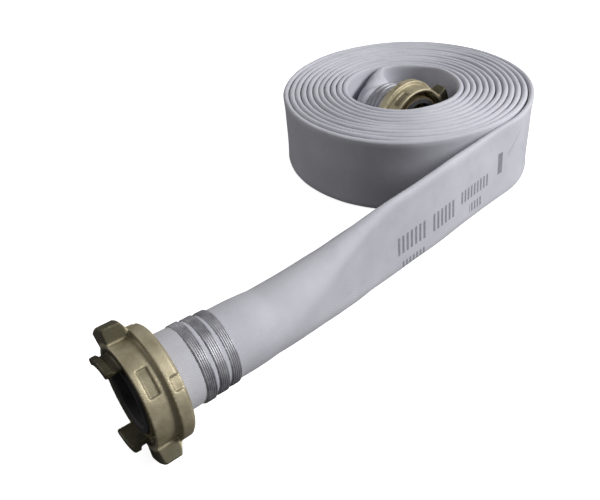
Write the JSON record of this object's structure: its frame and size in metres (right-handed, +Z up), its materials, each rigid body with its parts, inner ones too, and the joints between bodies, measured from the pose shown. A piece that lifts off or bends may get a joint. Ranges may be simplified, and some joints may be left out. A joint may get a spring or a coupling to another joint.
{
  "type": "rolled fire hose",
  "caption": "Lay-flat woven fire hose rolled on edge, its free end run out, with a wire-bound brass claw coupling on each end.",
  "frame": {"origin": "on the floor, on the upright axis of the roll", "axes": "+Z up along the roll's axis; the free end leaves the roll on its +X -Y side and runs towards -X -Y to the outer coupling"},
  "size_m": [0.4397, 0.579, 0.1019],
  "materials": {
    "woven_jacket": "white woven polyester, slightly soiled",
    "rubber_lining": "smooth black rubber",
    "cast_brass": "dull forged brass, tarnished olive in the recesses",
    "turned_brass": "machined brass",
    "black_seal": "matte moulded rubber",
    "spring_steel": "spring steel",
    "binding_wire": "galvanised wire"
  },
  "bodies": {
    "root": {"hose_roll": "woven_jacket", "hose_jacket_tail": "woven_jacket", "hose_lining_tail": "rubber_lining", "hose_jacket_tail_end": "woven_jacket", "hose_lining_tail_end": "rubber_lining", "hose_jacket_inner_end": "woven_jacket", "hose_lining_inner_end": "rubber_lining", "outer_tailpiece": "turned_brass", "outer_face_seal": "black_seal", "outer_retaining_ring": "spring_steel", "outer_binding_1": "binding_wire", "outer_binding_2": "binding_wire", "outer_binding_3": "binding_wire", "inner_tailpiece": "turned_brass", "inner_face_seal": "black_seal", "inner_retaining_ring": "spring_steel", "inner_binding_1": "binding_wire", "inner_binding_2": "binding_wire", "inner_binding_3": "binding_wire"},
    "outer_ring": {"outer_claw_ring": "cast_brass"},
    "inner_ring": {"inner_claw_ring": "cast_brass"}
  },
  "joints": [
    {"name": "outer_ring_swivel", "type": "hinge", "parent": "root", "child": "outer_ring", "pos_m": [-0.27142, -0.39873, 0.052], "axis": [-0.8075, -0.5867, 0.061], "continuous": true},
    {"name": "inner_ring_swivel", "type": "hinge", "parent": "root", "child": "inner_ring", "pos_m": [0.01208, -0.02311, 0.0455], "axis": [0.5299, -0.848, 0], "continuous": true}
  ]
}
